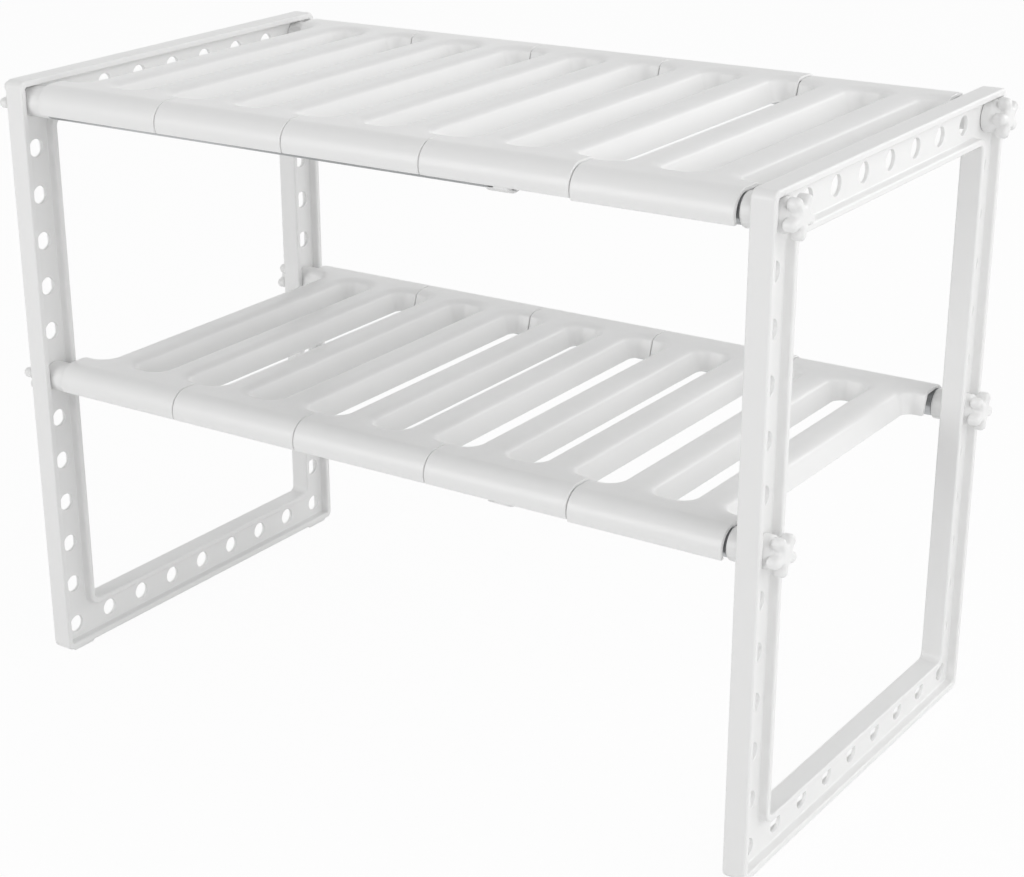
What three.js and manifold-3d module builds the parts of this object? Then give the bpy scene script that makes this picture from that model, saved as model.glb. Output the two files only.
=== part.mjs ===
// Two-tier expandable cabinet shelf: two pegged side frames, four telescoping tubes and ten
// slatted panels. Millimetres, +Z up, X is the width that extends, Y is the depth with the front
// at -Y. The origin is on the floor, in the middle of the footprint.
import * as THREE from 'three';
import { mergeVertices } from 'three/addons/utils/BufferGeometryUtils.js';
import Module from 'manifold-3d';

const wasm = await Module();
wasm.setup();

// Running and seating clearances
const SEAT_GAP = 0.3; // between faces that seat on each other
const SLIDE_GAP = 0.3; // between the inner and the outer tube
const RECESS_GAP = 0.5; // round a hub or collar that stands in the frame's recess

// Side frame: I-section bars round a window, with a row of peg holes along the web
const HOLES_DEEP = 9;
const HOLES_HIGH = 13;
const HOLE_PITCH_Y = 32.5;
const HOLE_PITCH_Z = 30;
const HOLE_D = 11.4;
const BAR_WIDTH = 28.8;
const FRAME_THICKNESS = 14;
const WEB_THICKNESS = 2.4;
const FLANGE_THICKNESS = 4.4;
const FRAME_CORNER_R = 5;
const WINDOW_CORNER_R = 4;
const RIM_INNER_R = 1.2; // inside corner of the outer flange
const FRAME_EDGE_ROUND = 0.8;
const FOOT_DROP = 2;
const FOOT_LENGTH = 22;
const FOOT_INSET = 5;
const FOOT_SLOPE = 2.5;
const LOWER_TIER_ROW = 6; // peg-hole row of the lower shelf, counted from 0 at the floor

// Telescoping tubes
const OUTER_TUBE_D = 19;
const TUBE_WALL = 0.9;
const INNER_TUBE_LENGTH = 352;
const OUTER_TUBE_LENGTH = 331;
const FERRULE_NOSE = 10; // ring that continues the tube
const FERRULE_SADDLE = 5; // keel that reaches back under the tube
const FERRULE_KEEL = 1.2; // how far the keel stands below the tube
const FERRULE_SPREAD = 48; // half angle of the keel in degrees

// Shelf panels: a shell with a rail over each tube and slats between round-ended slots
const PANELS_PER_TIER = 5;
const SLATS_PER_PANEL = 2;
const SLAT_WIDTH = 20;
const SLOT_WIDTH = 25.8; // slot inside a panel
const SEAM_SLOT_WIDTH = 30.2; // slot over a seam, half of it in each panel
const SLOT_CORNER_R = 10;
const SLOT_EDGE_R = 3;
const SEAM_GAP = 0.5;
const PANEL_WALL = 2.6;
const RAIL_BACK_ROOM = 2.9; // between the tube and the rail's inner wall
const RAIL_LIP = 5.4; // how far a rail's outer wall hugs the tube below its axis
const SLAT_SKIRT = 2.8; // how far the slats reach below the tubes' axes
const LEFT_COLLAR_SHOW = 11.4; // gap between the first panel and the left frame
const RIGHT_COLLAR_SHOW = 9.2; // gap between the last panel and the right frame

// Clamps: a plug in each tube end, and outside the frame a star knob whose stem screws into it
const COLLAR_TUCK = 2; // how far the left collars reach under the first panel
const COLLAR_GAP = 0.8; // between the last panel's end and the right collars
const COLLAR_CHAMFER = 1.2;
const PLUG_SPIGOT = 18;
const STEM_D = 8;
const STEM_TIP = 1; // chamfer at the stem's end
const STEM_IN_PLUG = 18;
const STAR_STANDOFF = 2;
const STAR_THICKNESS = 7.7;
const STAR_EDGE_ROUND = 2.2;
const STAR_LOBES = 5;
const LOBE_R = 3.6;
const LOBE_RING_R = 8.6;
const VALLEY_R = 2.4;

// Facets: sides of a full circle, or steps of one arc
const ROUND_SIDES = 12;
const HOLE_SIDES = 10;
const STEM_SIDES = 8;
const CORNER_STEPS = 3;
const RAIL_STEPS = 4;
const SLOT_STEPS = 3;
const SLOT_EDGE_STEPS = 2;
const HOLLOW_STEPS = 2;
const KEEL_STEPS = 4;
const LOBE_STEPS = 3;
const VALLEY_STEPS = 2;

// Derived sizes
const frameDepth = (HOLES_DEEP - 1) * HOLE_PITCH_Y + BAR_WIDTH;
const frameHeight = (HOLES_HIGH - 1) * HOLE_PITCH_Z + BAR_WIDTH;
const tubeY = ((HOLES_DEEP - 1) * HOLE_PITCH_Y) / 2;
const firstHoleZ = FOOT_DROP + BAR_WIDTH / 2;
const recessHalf = BAR_WIDTH / 2 - FLANGE_THICKNESS;
const slatPitch = SLAT_WIDTH + SLOT_WIDTH;
const panelPitch = SLATS_PER_PANEL * slatPitch - SLOT_WIDTH + SEAM_SLOT_WIDTH;
const panelsWidth = PANELS_PER_TIER * panelPitch - SEAM_GAP;
const innerSpan = LEFT_COLLAR_SHOW + panelsWidth + RIGHT_COLLAR_SHOW;
const webX = innerSpan / 2 + FRAME_THICKNESS / 2;
const lastPanelEnd = innerSpan / 2 - RIGHT_COLLAR_SHOW;
const tubeR = OUTER_TUBE_D / 2;
const tubeBore = tubeR - TUBE_WALL;
const innerTubeR = tubeBore - SLIDE_GAP;
const innerTubeBore = innerTubeR - TUBE_WALL;
const railFront = tubeR + SEAT_GAP + PANEL_WALL;
const railBack = tubeR + RAIL_BACK_ROOM + PANEL_WALL;
const slotHalfLength = tubeY - railBack;
const hubR = recessHalf - RECESS_GAP;
const webSeat = WEB_THICKNESS / 2 + SEAT_GAP;
const panelFloor = -RAIL_LIP - SLOT_EDGE_R; // where cuts start, below the panel's lower edge

// Finishes
const white = (name) => {
  const material = new THREE.MeshStandardMaterial({ color: 0xeeeeed, roughness: 0.45, metalness: 0 });
  material.name = name;
  return material;
};
const FRAME_PLASTIC = white('frame_plastic');
const PANEL_PLASTIC = white('panel_plastic');
const FITTING_PLASTIC = white('fitting_plastic');
const KNOB_PLASTIC = white('knob_plastic');
const TUBE_STEEL = new THREE.MeshStandardMaterial({ color: 0xb4b6b8, roughness: 0.35, metalness: 1 });

// Turns a profile drawn in (y, z) and extruded along its own z into one that runs along X
const PROFILE_TO_X = new THREE.Matrix4().makeBasis(
  new THREE.Vector3(0, 1, 0),
  new THREE.Vector3(0, 0, 1),
  new THREE.Vector3(1, 0, 0),
);

/** A closed geometry as a solid that can be joined and cut. */
function toSolid(geometry) {
  const bare = geometry.clone();
  bare.deleteAttribute('normal');
  bare.deleteAttribute('uv');
  const merged = mergeVertices(bare, 1e-4);
  return new wasm.Manifold(
    new wasm.Mesh({
      numProp: 3,
      vertProperties: new Float32Array(merged.attributes.position.array),
      triVerts: new Uint32Array(merged.index.array),
    }),
  );
}

/** A solid as a geometry for a mesh. */
function toGeometry(solid) {
  const data = solid.getMesh();
  const geometry = new THREE.BufferGeometry();
  geometry.setAttribute('position', new THREE.BufferAttribute(data.vertProperties, 3));
  geometry.setIndex(new THREE.BufferAttribute(data.triVerts, 1));
  geometry.computeVertexNormals();
  return geometry;
}

/** Extrudes a shape by a depth; each arc of its outline is divided into the given steps. */
function extruded(shape, depth, arcSteps, bevel = { bevelEnabled: false }) {
  return new THREE.ExtrudeGeometry(shape, { depth, curveSegments: arcSteps / 2, ...bevel });
}

/** Extrudes a (y, z) shape along X from x = start. */
function alongX(shape, start, length, arcSteps) {
  return extruded(shape, length, arcSteps).applyMatrix4(PROFILE_TO_X).translate(start, 0, 0);
}

/** Extrudes a (y, z) shape along X with both end edges broken inside the given length. */
function alongXRounded(shape, start, length, round) {
  const bevel = { bevelThickness: round, bevelSize: round, bevelOffset: -round, bevelSegments: 1 };
  const geometry = extruded(shape, length - 2 * round, CORNER_STEPS, bevel);
  return geometry.applyMatrix4(PROFILE_TO_X).translate(start + round, 0, 0);
}

/** Revolves a closed (radius, x) profile about the X axis. */
function turned(profile, sides) {
  const points = profile.map(([radius, x]) => new THREE.Vector2(radius, x));
  const onAxis = points[0].x === 0;
  if (!onAxis) points.push(points[0].clone());
  return new THREE.LatheGeometry(points, sides).rotateZ(-Math.PI / 2);
}

/** Adds a rounded rectangle to a shape or path, centred on (a, b). */
function traceRoundedRect(path, a, b, width, height, radius) {
  const right = a + width / 2 - radius;
  const left = a - width / 2 + radius;
  const top = b + height / 2 - radius;
  const bottom = b - height / 2 + radius;
  path.absarc(right, bottom, radius, -Math.PI / 2, 0);
  path.absarc(right, top, radius, 0, Math.PI / 2);
  path.absarc(left, top, radius, Math.PI / 2, Math.PI);
  path.absarc(left, bottom, radius, Math.PI, 1.5 * Math.PI);
  path.closePath();
  return path;
}

/** A rectangular loop between two rounded rectangles that share the frame's centre. */
function loopShape(width, height, radius, bar, innerRadius) {
  const middle = FOOT_DROP + frameHeight / 2;
  const shape = traceRoundedRect(new THREE.Shape(), 0, middle, width, height, radius);
  const inner = new THREE.Path();
  shape.holes.push(traceRoundedRect(inner, 0, middle, width - 2 * bar, height - 2 * bar, innerRadius));
  return shape;
}

/** Places of the peg holes: one column at each depth end, one row at top and bottom. */
function pegPlaces() {
  const places = [];
  for (let row = 0; row < HOLES_HIGH; row += 1) {
    for (let column = 0; column < HOLES_DEEP; column += 1) {
      const onPost = column === 0 || column === HOLES_DEEP - 1;
      const onBar = row === 0 || row === HOLES_HIGH - 1;
      if (onPost || onBar) places.push([column * HOLE_PITCH_Y - tubeY, firstHoleZ + row * HOLE_PITCH_Z]);
    }
  }
  return places;
}

/** A closed outline of straight lines between (y, z) points. */
function polygon(points) {
  return new THREE.Shape(points.map(([a, b]) => new THREE.Vector2(a, b)));
}

/** Points along an arc about (a, b), both ends included. */
function arcPoints(a, b, radius, from, to, steps) {
  const points = [];
  for (let step = 0; step <= steps; step += 1) {
    const angle = from + ((to - from) * step) / steps;
    points.push(new THREE.Vector2(a + radius * Math.cos(angle), b + radius * Math.sin(angle)));
  }
  return points;
}

/** A round hole about (a, b) with the given number of sides. */
function circlePath(a, b, radius, sides) {
  const points = arcPoints(a, b, radius, 0, 2 * Math.PI, sides);
  points.pop();
  return new THREE.Path(points);
}

/** Foot pad under one end of the bottom bar, sloped at both ends; side is -1 front or 1 rear. */
function footSolid(side) {
  const outer = frameDepth / 2 - FOOT_INSET;
  const inner = outer - FOOT_LENGTH;
  const sunk = FOOT_DROP + FLANGE_THICKNESS / 2;
  const outline = [
    [outer, sunk],
    [inner, sunk],
    [inner, FOOT_DROP],
    [inner + FOOT_SLOPE, 0],
    [outer - FOOT_SLOPE, 0],
    [outer, FOOT_DROP],
  ];
  const pad = alongX(
    polygon(outline),
    FRAME_EDGE_ROUND - FRAME_THICKNESS / 2,
    FRAME_THICKNESS - 2 * FRAME_EDGE_ROUND,
    CORNER_STEPS,
  );
  return toSolid(side < 0 ? pad.rotateZ(Math.PI) : pad);
}

/** Side frame about its web's mid-plane: web with peg holes, a flange along each edge and two foot pads. */
function sideFrame() {
  const web = loopShape(
    frameDepth - FLANGE_THICKNESS,
    frameHeight - FLANGE_THICKNESS,
    FRAME_CORNER_R,
    BAR_WIDTH - FLANGE_THICKNESS,
    WINDOW_CORNER_R,
  );
  for (const [y, z] of pegPlaces()) web.holes.push(circlePath(y, z, HOLE_D / 2, HOLE_SIDES));
  const rim = loopShape(frameDepth, frameHeight, FRAME_CORNER_R, FLANGE_THICKNESS, RIM_INNER_R);
  const windowBar = BAR_WIDTH - FLANGE_THICKNESS;
  const windowRim = loopShape(
    frameDepth - 2 * windowBar,
    frameHeight - 2 * windowBar,
    WINDOW_CORNER_R + FLANGE_THICKNESS,
    FLANGE_THICKNESS,
    WINDOW_CORNER_R,
  );
  const start = -FRAME_THICKNESS / 2;
  return toSolid(alongX(web, -WEB_THICKNESS / 2, WEB_THICKNESS, CORNER_STEPS))
    .add(toSolid(alongXRounded(rim, start, FRAME_THICKNESS, FRAME_EDGE_ROUND)))
    .add(toSolid(alongXRounded(windowRim, start, FRAME_THICKNESS, FRAME_EDGE_ROUND)))
    .add(footSolid(-1))
    .add(footSolid(1));
}

/** Outline of a panel's section in (y, z) with a round rail of the given radius over each tube. */
function railOutline(radius) {
  const dip = Math.asin(RAIL_LIP / radius);
  return [
    ...arcPoints(tubeY, 0, radius, -dip, Math.PI / 2, RAIL_STEPS),
    ...arcPoints(-tubeY, 0, radius, Math.PI / 2, Math.PI + dip, RAIL_STEPS),
  ];
}

/** Section of a panel's hollow: its facets keep clear of the tubes, and it is open at the bottom. */
function hollowShape() {
  const radius = railFront - PANEL_WALL;
  const step = (Math.PI / 2 + Math.asin(RAIL_LIP / radius)) / RAIL_STEPS;
  const outline = railOutline(radius / Math.cos(step / 2));
  const mouth = outline[0].x;
  return new THREE.Shape([
    new THREE.Vector2(-mouth, panelFloor),
    new THREE.Vector2(mouth, panelFloor),
    ...outline,
  ]);
}

/** Plan outline of one slot in (x, y), grown by a margin. */
function slotShape(x, width, margin) {
  return traceRoundedRect(
    new THREE.Shape(),
    x,
    0,
    width + 2 * margin,
    2 * (slotHalfLength + margin),
    SLOT_CORNER_R + margin,
  );
}

/** Cutter for a slot whose upper edge is rounded: the outline flares out to the top face. */
function slotCutter(x, width) {
  const bevel = {
    bevelThickness: SLOT_EDGE_R,
    bevelSize: -SLOT_EDGE_R,
    bevelOffset: SLOT_EDGE_R,
    bevelSegments: SLOT_EDGE_STEPS,
  };
  const depth = railFront - SLOT_EDGE_R - panelFloor;
  return toSolid(extruded(slotShape(x, width, 0), depth, SLOT_STEPS, bevel).translate(0, 0, panelFloor));
}

/** Upright block over the panel's whole height from a plan outline in (x, y). */
function upright(shape, arcSteps) {
  const geometry = extruded(shape, railFront + SLOT_EDGE_R - panelFloor, arcSteps);
  return toSolid(geometry.translate(0, 0, panelFloor));
}

/** Block between the tubes that leaves the slats shorter than the rails' outer walls. */
function belly(width) {
  const height = -SLAT_SKIRT - panelFloor;
  return toSolid(new THREE.BoxGeometry(width, 2 * tubeY, height).translate(0, 0, panelFloor + height / 2));
}

/** One shelf panel about its own middle, with slots between its slats and a half slot at each end. */
function shelfPanel() {
  const width = panelPitch - SEAM_GAP;
  let outer = toSolid(alongX(new THREE.Shape(railOutline(railFront)), -width / 2, width, RAIL_STEPS));
  let hollow = toSolid(alongX(hollowShape(), -width, 2 * width, RAIL_STEPS));
  for (let slot = 0; slot <= SLATS_PER_PANEL; slot += 1) {
    const onSeam = slot === 0 || slot === SLATS_PER_PANEL;
    const slotWidth = onSeam ? SEAM_SLOT_WIDTH : SLOT_WIDTH;
    const side = slot === 0 ? -1 : 1;
    const x = onSeam ? (side * panelPitch) / 2 : (slot - SLATS_PER_PANEL / 2) * slatPitch;
    outer = outer.subtract(slotCutter(x, slotWidth));
    hollow = hollow.subtract(upright(slotShape(x, slotWidth, PANEL_WALL), HOLLOW_STEPS));
  }
  return outer.subtract(hollow).subtract(belly(2 * width));
}

/** A tube along X from x = 0. */
function tube(radius, bore, length) {
  const profile = [
    [bore, 0],
    [radius, 0],
    [radius, length],
    [bore, length],
  ];
  return turned(profile, ROUND_SIDES);
}

/** End piece of an outer tube from the tube's end at x = 0: a ring, and a keel under the tube. */
function ferrule() {
  const spread = THREE.MathUtils.degToRad(FERRULE_SPREAD);
  const down = -Math.PI / 2;
  const keel = arcPoints(0, 0, tubeR + FERRULE_KEEL, down - spread, down + spread, KEEL_STEPS);
  const crown = arcPoints(0, 0, tubeR, down + spread, 1.5 * Math.PI - spread, ROUND_SIDES - KEEL_STEPS);
  const ring = new THREE.Shape([...keel, ...crown]);
  ring.holes.push(circlePath(0, 0, tubeBore, ROUND_SIDES));
  const seat = arcPoints(0, 0, tubeR + SEAT_GAP, down + spread, down - spread, KEEL_STEPS);
  const saddle = new THREE.Shape([...keel, ...seat]);
  const saddleLength = FERRULE_SADDLE + 2 * SEAT_GAP;
  return toSolid(alongX(ring, SEAT_GAP, FERRULE_NOSE, KEEL_STEPS)).add(
    toSolid(alongX(saddle, -FERRULE_SADDLE, saddleLength, KEEL_STEPS)),
  );
}

/** Plug about the web's mid-plane, +X outwards: collar on the web and a spigot in a tube's bore. */
function endPlug(spigotR, collarStart) {
  const boreR = STEM_D / 2 + SEAT_GAP;
  const noseR = Math.min(tubeR, hubR);
  const faceX = -FRAME_THICKNESS / 2 - SEAT_GAP;
  const step = noseR < tubeR ? [[tubeR, faceX], [noseR, faceX]] : [];
  const profile = [
    [boreR, collarStart - PLUG_SPIGOT],
    [spigotR, collarStart - PLUG_SPIGOT],
    [spigotR, collarStart],
    [tubeR - COLLAR_CHAMFER, collarStart],
    [tubeR, collarStart + COLLAR_CHAMFER],
    ...step,
    [noseR, -webSeat],
    [boreR, -webSeat],
  ];
  return turned(profile, ROUND_SIDES);
}

/** Outline of the star knob in (y, z): round lobes joined by hollow valleys. */
function starShape() {
  const half = Math.PI / STAR_LOBES;
  const reach = Math.sqrt((LOBE_R + VALLEY_R) ** 2 - (LOBE_RING_R * Math.sin(half)) ** 2);
  const valleyRing = LOBE_RING_R * Math.cos(half) + reach;
  const lean = Math.atan2(valleyRing * Math.sin(half), valleyRing * Math.cos(half) - LOBE_RING_R);
  const points = [];
  for (let lobe = 0; lobe < STAR_LOBES; lobe += 1) {
    const angle = 2 * half * lobe;
    const y = LOBE_RING_R * Math.cos(angle);
    const z = LOBE_RING_R * Math.sin(angle);
    points.push(...arcPoints(y, z, LOBE_R, angle - lean, angle + lean, LOBE_STEPS));
    const valleyY = valleyRing * Math.cos(angle + half);
    const valleyZ = valleyRing * Math.sin(angle + half);
    const from = angle + lean + Math.PI;
    const to = angle + 2 * half - lean + Math.PI;
    points.push(...arcPoints(valleyY, valleyZ, VALLEY_R, from, to, VALLEY_STEPS).slice(1, -1));
  }
  return new THREE.Shape(points);
}

/** Star knob about the web's mid-plane, +X outwards: stem, hub in the recess and star. */
function starKnob() {
  const starBack = FRAME_THICKNESS / 2 + STAR_STANDOFF;
  const stemR = STEM_D / 2;
  const tip = -webSeat - STEM_IN_PLUG;
  const hub = [
    [0, webSeat],
    [hubR, webSeat],
    [hubR, starBack + STAR_EDGE_ROUND],
    [0, starBack + STAR_EDGE_ROUND],
  ];
  const stem = [
    [0, tip],
    [stemR - STEM_TIP, tip],
    [stemR, tip + STEM_TIP],
    [stemR, starBack],
    [0, starBack],
  ];
  return toSolid(alongXRounded(starShape(), starBack, STAR_THICKNESS, STAR_EDGE_ROUND))
    .add(toSolid(turned(hub, ROUND_SIDES)))
    .add(toSolid(turned(stem, STEM_SIDES)));
}

const named = (name, geometry, material) => {
  const mesh = new THREE.Mesh(geometry, material);
  mesh.name = name;
  return mesh;
};

const shelf = new THREE.Group();

// Side frames
const frameGeometry = toGeometry(sideFrame());
for (const [side, sign] of [
  ['left', -1],
  ['right', 1],
]) {
  const frame = named(`${side}_side_frame`, frameGeometry, FRAME_PLASTIC);
  frame.position.x = sign * webX;
  shelf.add(frame);
}

// Shapes shared by both tiers
const leftCollarStart = -FRAME_THICKNESS / 2 - LEFT_COLLAR_SHOW - COLLAR_TUCK;
const rightCollarStart = -FRAME_THICKNESS / 2 - RIGHT_COLLAR_SHOW + COLLAR_GAP;
const outerTubeStart = -webX - leftCollarStart + SEAT_GAP;
const innerTubeEnd = webX + rightCollarStart - SEAT_GAP;
const outerTubeGeometry = tube(tubeR, tubeBore, OUTER_TUBE_LENGTH);
const innerTubeGeometry = tube(innerTubeR, innerTubeBore, INNER_TUBE_LENGTH);
const ferruleGeometry = toGeometry(ferrule());
const leftPlugGeometry = endPlug(tubeBore - SEAT_GAP, leftCollarStart);
const rightPlugGeometry = endPlug(innerTubeBore - SEAT_GAP, rightCollarStart);
const knobGeometry = toGeometry(starKnob());
const panelGeometry = toGeometry(shelfPanel());

/** Plug and knob at one end of a tube, built outwards along the group's +X. */
function clamp(label, plugGeometry) {
  const group = new THREE.Group();
  group.add(named(`${label}_end_plug`, plugGeometry, FITTING_PLASTIC));
  group.add(named(`${label}_star_knob`, knobGeometry, KNOB_PLASTIC));
  return group;
}

/** One telescoping tube with its ferrule and the clamps at both ends, about the tube's axis. */
function telescope(label) {
  const group = new THREE.Group();
  const outer = named(`${label}_outer_tube`, outerTubeGeometry, TUBE_STEEL);
  outer.position.x = outerTubeStart;
  const nose = named(`${label}_tube_ferrule`, ferruleGeometry, FITTING_PLASTIC);
  nose.position.x = outerTubeStart + OUTER_TUBE_LENGTH;
  const inner = named(`${label}_inner_tube`, innerTubeGeometry, TUBE_STEEL);
  inner.position.x = innerTubeEnd - INNER_TUBE_LENGTH;
  const left = clamp(`${label}_left`, leftPlugGeometry);
  left.position.x = -webX;
  left.rotation.z = Math.PI;
  const right = clamp(`${label}_right`, rightPlugGeometry);
  right.position.x = webX;
  group.add(outer, nose, inner, left, right);
  return group;
}

// Tiers: two telescoping tubes and a row of panels each. The last panel rests on the thinner tube.
for (const [tier, row] of [
  ['lower', LOWER_TIER_ROW],
  ['upper', HOLES_HIGH - 1],
]) {
  const group = new THREE.Group();
  group.position.z = firstHoleZ + row * HOLE_PITCH_Z;
  for (const [end, sign] of [
    ['front', -1],
    ['rear', 1],
  ]) {
    const pair = telescope(`${tier}_${end}`);
    pair.position.y = sign * tubeY;
    group.add(pair);
  }
  for (let index = 0; index < PANELS_PER_TIER; index += 1) {
    const last = index === PANELS_PER_TIER - 1;
    const panel = named(`${tier}_panel_${index + 1}`, panelGeometry, PANEL_PLASTIC);
    const fromRight = PANELS_PER_TIER - 1 - index + 0.5;
    panel.position.x = lastPanelEnd + SEAM_GAP / 2 - fromRight * panelPitch;
    panel.position.z = last ? innerTubeR - tubeR : 0;
    group.add(panel);
  }
  shelf.add(group);
}

export default shelf;
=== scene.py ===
"""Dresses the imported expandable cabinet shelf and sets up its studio.

Sizes are in millimetres in the row frame, as the CAD source has them. A sketch is scaled to metres
once, when its mesh is finished.
"""

import logging
import math
from collections.abc import Iterable, Sequence
from dataclasses import dataclass
from enum import Enum

import bmesh
import bpy
from bpy.types import Material, Mesh, Node, NodeSocket, NodeTree, Object
from mathutils import Matrix, Vector


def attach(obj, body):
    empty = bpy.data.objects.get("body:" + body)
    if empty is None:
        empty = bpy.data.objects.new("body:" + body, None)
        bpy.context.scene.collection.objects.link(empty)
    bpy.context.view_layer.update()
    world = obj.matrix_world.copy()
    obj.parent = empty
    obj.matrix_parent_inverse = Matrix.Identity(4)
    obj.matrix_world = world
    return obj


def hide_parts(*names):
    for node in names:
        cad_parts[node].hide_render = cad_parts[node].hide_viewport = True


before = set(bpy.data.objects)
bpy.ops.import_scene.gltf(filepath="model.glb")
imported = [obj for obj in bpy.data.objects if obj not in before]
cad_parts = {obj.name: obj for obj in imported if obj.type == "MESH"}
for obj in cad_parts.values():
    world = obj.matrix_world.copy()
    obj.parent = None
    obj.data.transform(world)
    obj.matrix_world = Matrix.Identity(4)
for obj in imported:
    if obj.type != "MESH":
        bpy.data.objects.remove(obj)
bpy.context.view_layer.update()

MM = 0.001
PHOTO_SIZE = (1024, 877)
WEB_PLANE = 257.05
TUBE_AXIS = 130.0
FLOAT_SOCKET = "NodeSocketFloat"
COLOUR_SOCKET = "NodeSocketColor"

Point = tuple[float, float]
Place = tuple[float, float, float]
Colour = tuple[float, float, float]
Paint = tuple[float, float, float, float]
Row = list[bmesh.types.BMVert]

log = logging.getLogger("cabinet_shelf")


class Labelled(Enum):
    """A choice whose first value is its word in the names of nodes."""

    @property
    def label(self) -> str:
        """Name used in node names."""
        return self.value[0]


class Side(Labelled):
    """Side of the shelf, with its direction along X and the turn that faces a clamp outwards."""

    LEFT = ("left", -1, 180.0)
    RIGHT = ("right", 1, 0.0)

    @property
    def sign(self) -> int:
        """Direction of the side along X."""
        return self.value[1]

    @property
    def turn(self) -> float:
        """Turn about Z in degrees."""
        return self.value[2]

    @property
    def body(self) -> str:
        """CAD body that carries the side."""
        return f"{self.label}_side"


class End(Labelled):
    """Front or rear tube of a tier, with the place of its axis along Y."""

    FRONT = ("front", -TUBE_AXIS)
    REAR = ("rear", TUBE_AXIS)

    @property
    def axis_y(self) -> float:
        """Depth of the tube's axis."""
        return self.value[1]


class Tier(Labelled):
    """Shelf tier, with the height of its tube axes."""

    LOWER = ("lower", 196.4)
    UPPER = ("upper", 376.4)

    @property
    def axis_z(self) -> float:
        """Height of the tubes' axes."""
        return self.value[1]


class Slot(Enum):
    """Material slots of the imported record."""

    FRAME = "frame_plastic"
    PANEL = "panel_plastic"
    FITTING = "fitting_plastic"
    KNOB = "knob_plastic"
    TUBE = "tube_steel"


Pieces = dict[Slot, list[Object]]


def arc_points(centre: Point, radius: float, start: float, end: float, steps: int) -> list[Point]:
    """Divides an arc into straight steps.

    Args:
        centre: Centre of the arc.
        radius: Radius of the arc.
        start: Angle of the first point in degrees.
        end: Angle of the last point in degrees.
        steps: Number of steps.

    Returns:
        Points along the arc, both ends included.
    """
    angles = [math.radians(start + (end - start) * step / steps) for step in range(steps + 1)]
    return [(centre[0] + radius * math.cos(a), centre[1] + radius * math.sin(a)) for a in angles]


def rounded_rect(half: float, low: float, high: float, radius: float, steps: int) -> list[Point]:
    """Outlines a rectangle with round corners, anticlockwise from its lower right corner.

    Args:
        half: Half of the width, about 0.
        low: Lower side.
        high: Upper side.
        radius: Corner radius.
        steps: Steps of each corner.

    Returns:
        Points of the closed outline.
    """
    right = half - radius
    points: list[Point] = []
    for a, b, start in (
        (right, low + radius, -90),
        (right, high - radius, 0),
        (-right, high - radius, 90),
        (-right, low + radius, 180),
    ):
        points += arc_points((a, b), radius, start, start + 90, steps)
    return points


def inset_outline(points: Sequence[Point], distance: float, tightest: float = 0.5) -> list[Point]:
    """Moves a closed outline inwards.

    Args:
        points: Points of the outline in either direction.
        distance: How far each side moves.
        tightest: Cosine of half a corner's turn past which its point moves no further.

    Returns:
        Points of the smaller outline, in the same order.
    """
    count = len(points)
    area = sum(points[i - 1][0] * points[i][1] - points[i][0] * points[i - 1][1] for i in range(count))
    inward = distance if area > 0 else -distance
    moved: list[Point] = []
    for i, point in enumerate(points):
        before = Vector((point[0] - points[i - 1][0], point[1] - points[i - 1][1])).normalized()
        after_point = points[(i + 1) % count]
        after = Vector((after_point[0] - point[0], after_point[1] - point[1])).normalized()
        mean = (before + after).normalized()
        reach = inward / max(tightest, mean.dot(after))
        moved.append((point[0] - mean.y * reach, point[1] + mean.x * reach))
    return moved


def tube_places() -> list[tuple[str, float, float]]:
    """Lists the telescoping tubes from the lower front one on, as (label, y, z) of their axes."""
    return [(f"{tier.label}_{end.label}", end.axis_y, tier.axis_z) for tier in Tier for end in End]


def smooth_step(value: float, low: float, high: float) -> float:
    """Rises smoothly from 0 at low to 1 at high."""
    t = min(1.0, max(0.0, (value - low) / (high - low)))
    return t * t * (3.0 - 2.0 * t)


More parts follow.
